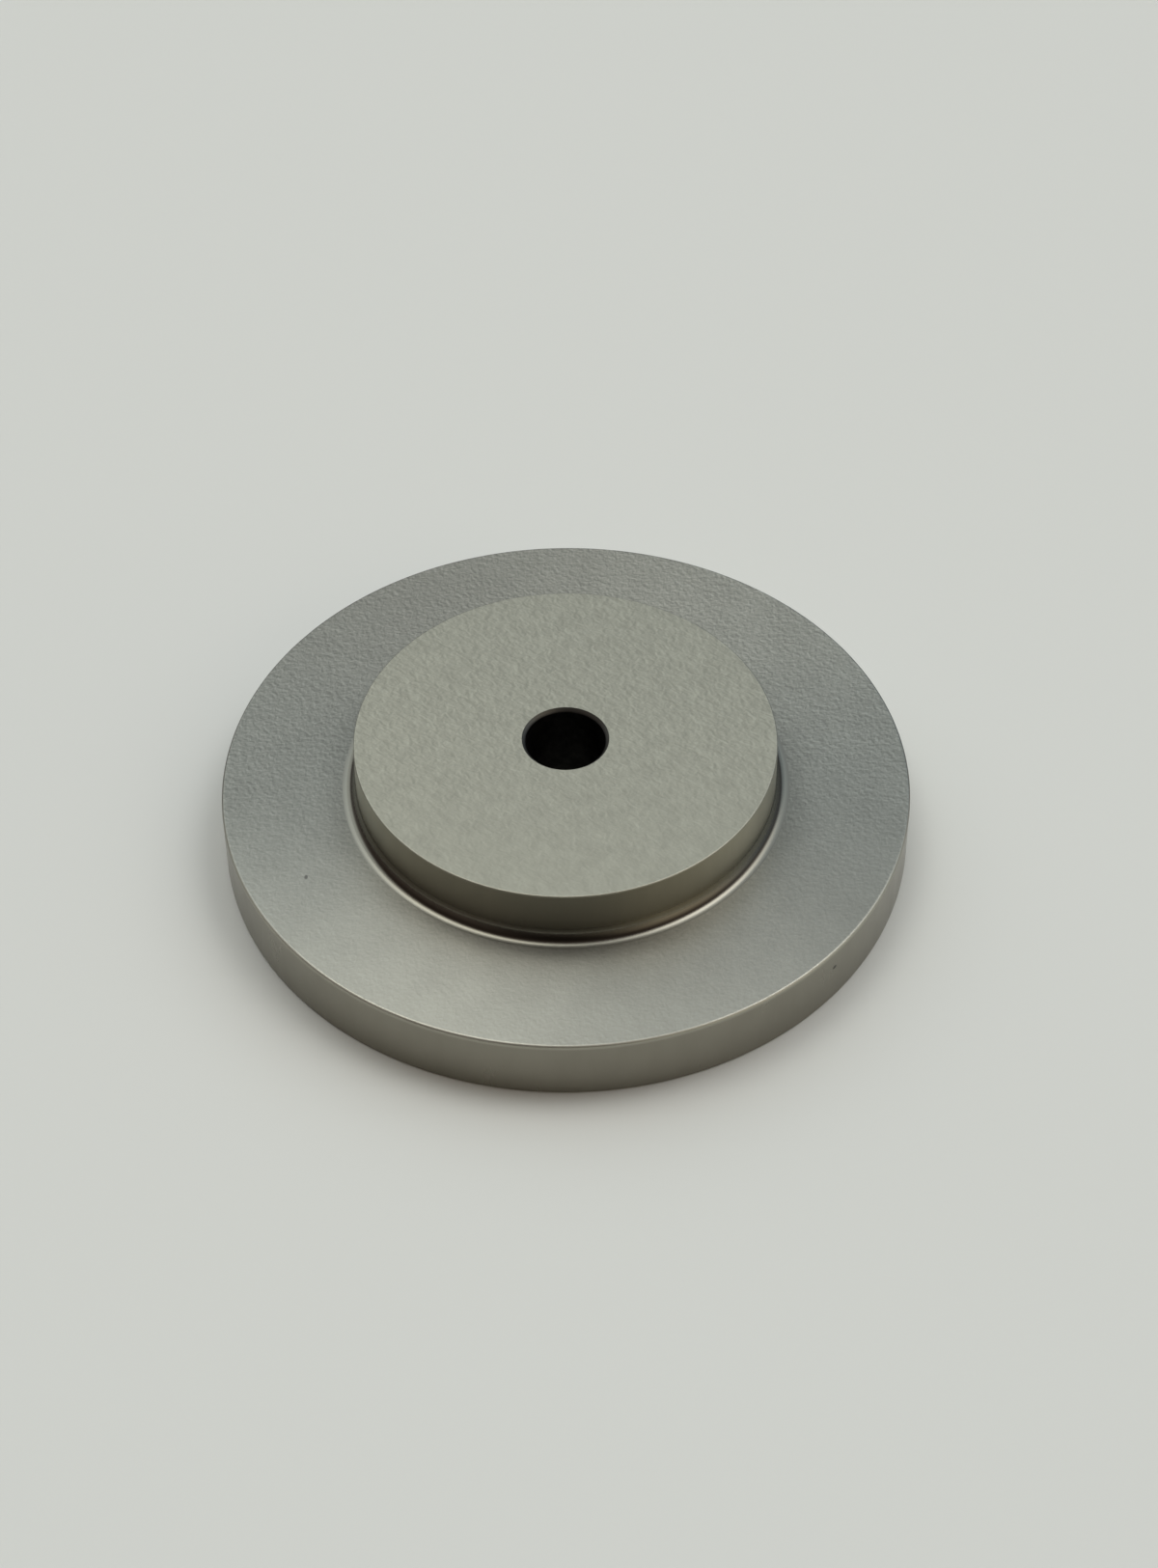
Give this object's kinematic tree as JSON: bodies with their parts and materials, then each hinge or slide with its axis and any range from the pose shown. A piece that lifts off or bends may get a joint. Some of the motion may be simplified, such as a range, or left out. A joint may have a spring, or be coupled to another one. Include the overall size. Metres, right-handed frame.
{
  "type": "turned step disc",
  "caption": "Round turned metal disc: a thin flange with a smaller concentric boss on one face and a small plain bore through both.",
  "frame": {"origin": "centre of the flange's back face, where the bore's axis meets it", "axes": "+Z along the turning axis, from the back face towards the boss; +X and +Y are free, because the part is round"},
  "size_m": [0.05, 0.05, 0.0093],
  "materials": {
    "blasted_steel": "fine bead-blasted satin, warm grey"
  },
  "bodies": {
    "root": {"turned_disc": "blasted_steel"}
  },
  "joints": []
}
